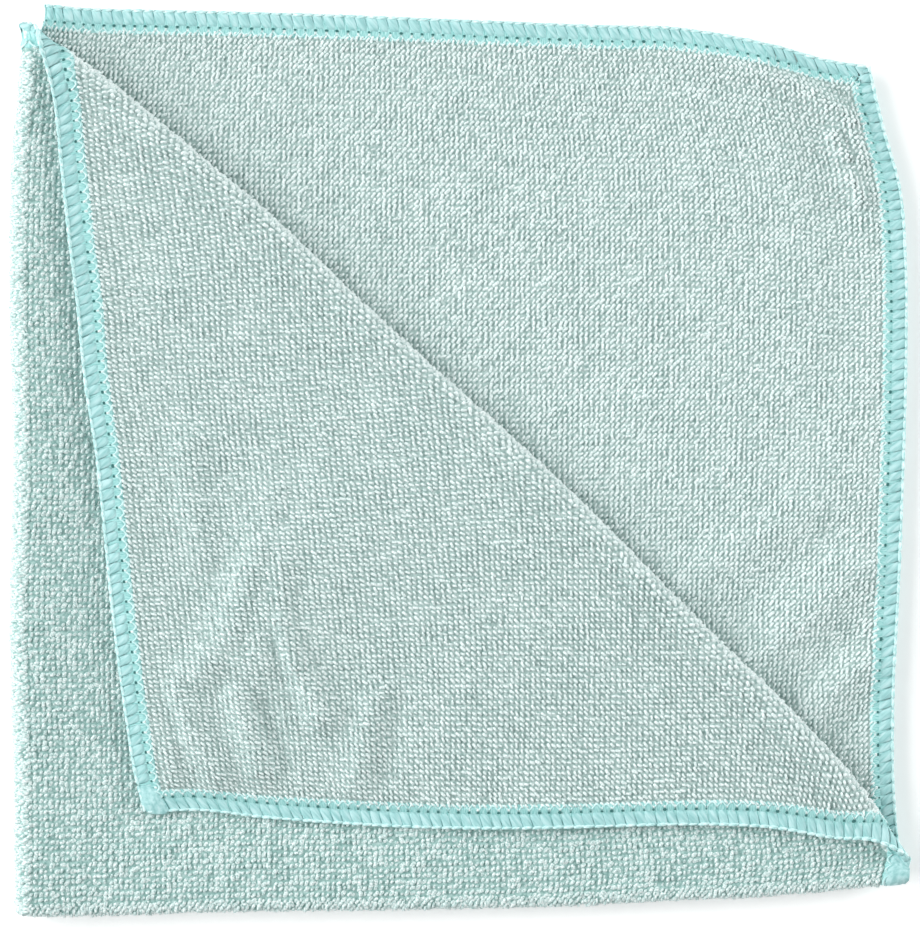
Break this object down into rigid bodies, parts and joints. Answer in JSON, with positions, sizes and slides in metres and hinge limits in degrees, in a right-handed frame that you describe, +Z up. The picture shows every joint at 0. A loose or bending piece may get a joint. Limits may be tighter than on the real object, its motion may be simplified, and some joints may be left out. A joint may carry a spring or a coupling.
{
  "type": "folded microfibre cloth",
  "caption": "Square looped-knit cleaning cloth with overlocked edges, folded in quarters with its top corner turned back over a soft diagonal crease.",
  "frame": {"origin": "middle of the folded cloth's box, at the height of the surface it lies on", "axes": "+Z up through the layers, +X from the double fold at the left to the overlocked side at the right, +Y from the fold at the bottom to the overlocked side at the top"},
  "size_m": [0.2014, 0.2038, 0.0152],
  "materials": {
    "cloth": "looped microfibre knit, pale sea green, matt with white glints",
    "edging": "overlock thread, aqua, with a soft sheen"
  },
  "bodies": {
    "root": {"cloth": "cloth", "edging": "edging"}
  },
  "joints": []
}
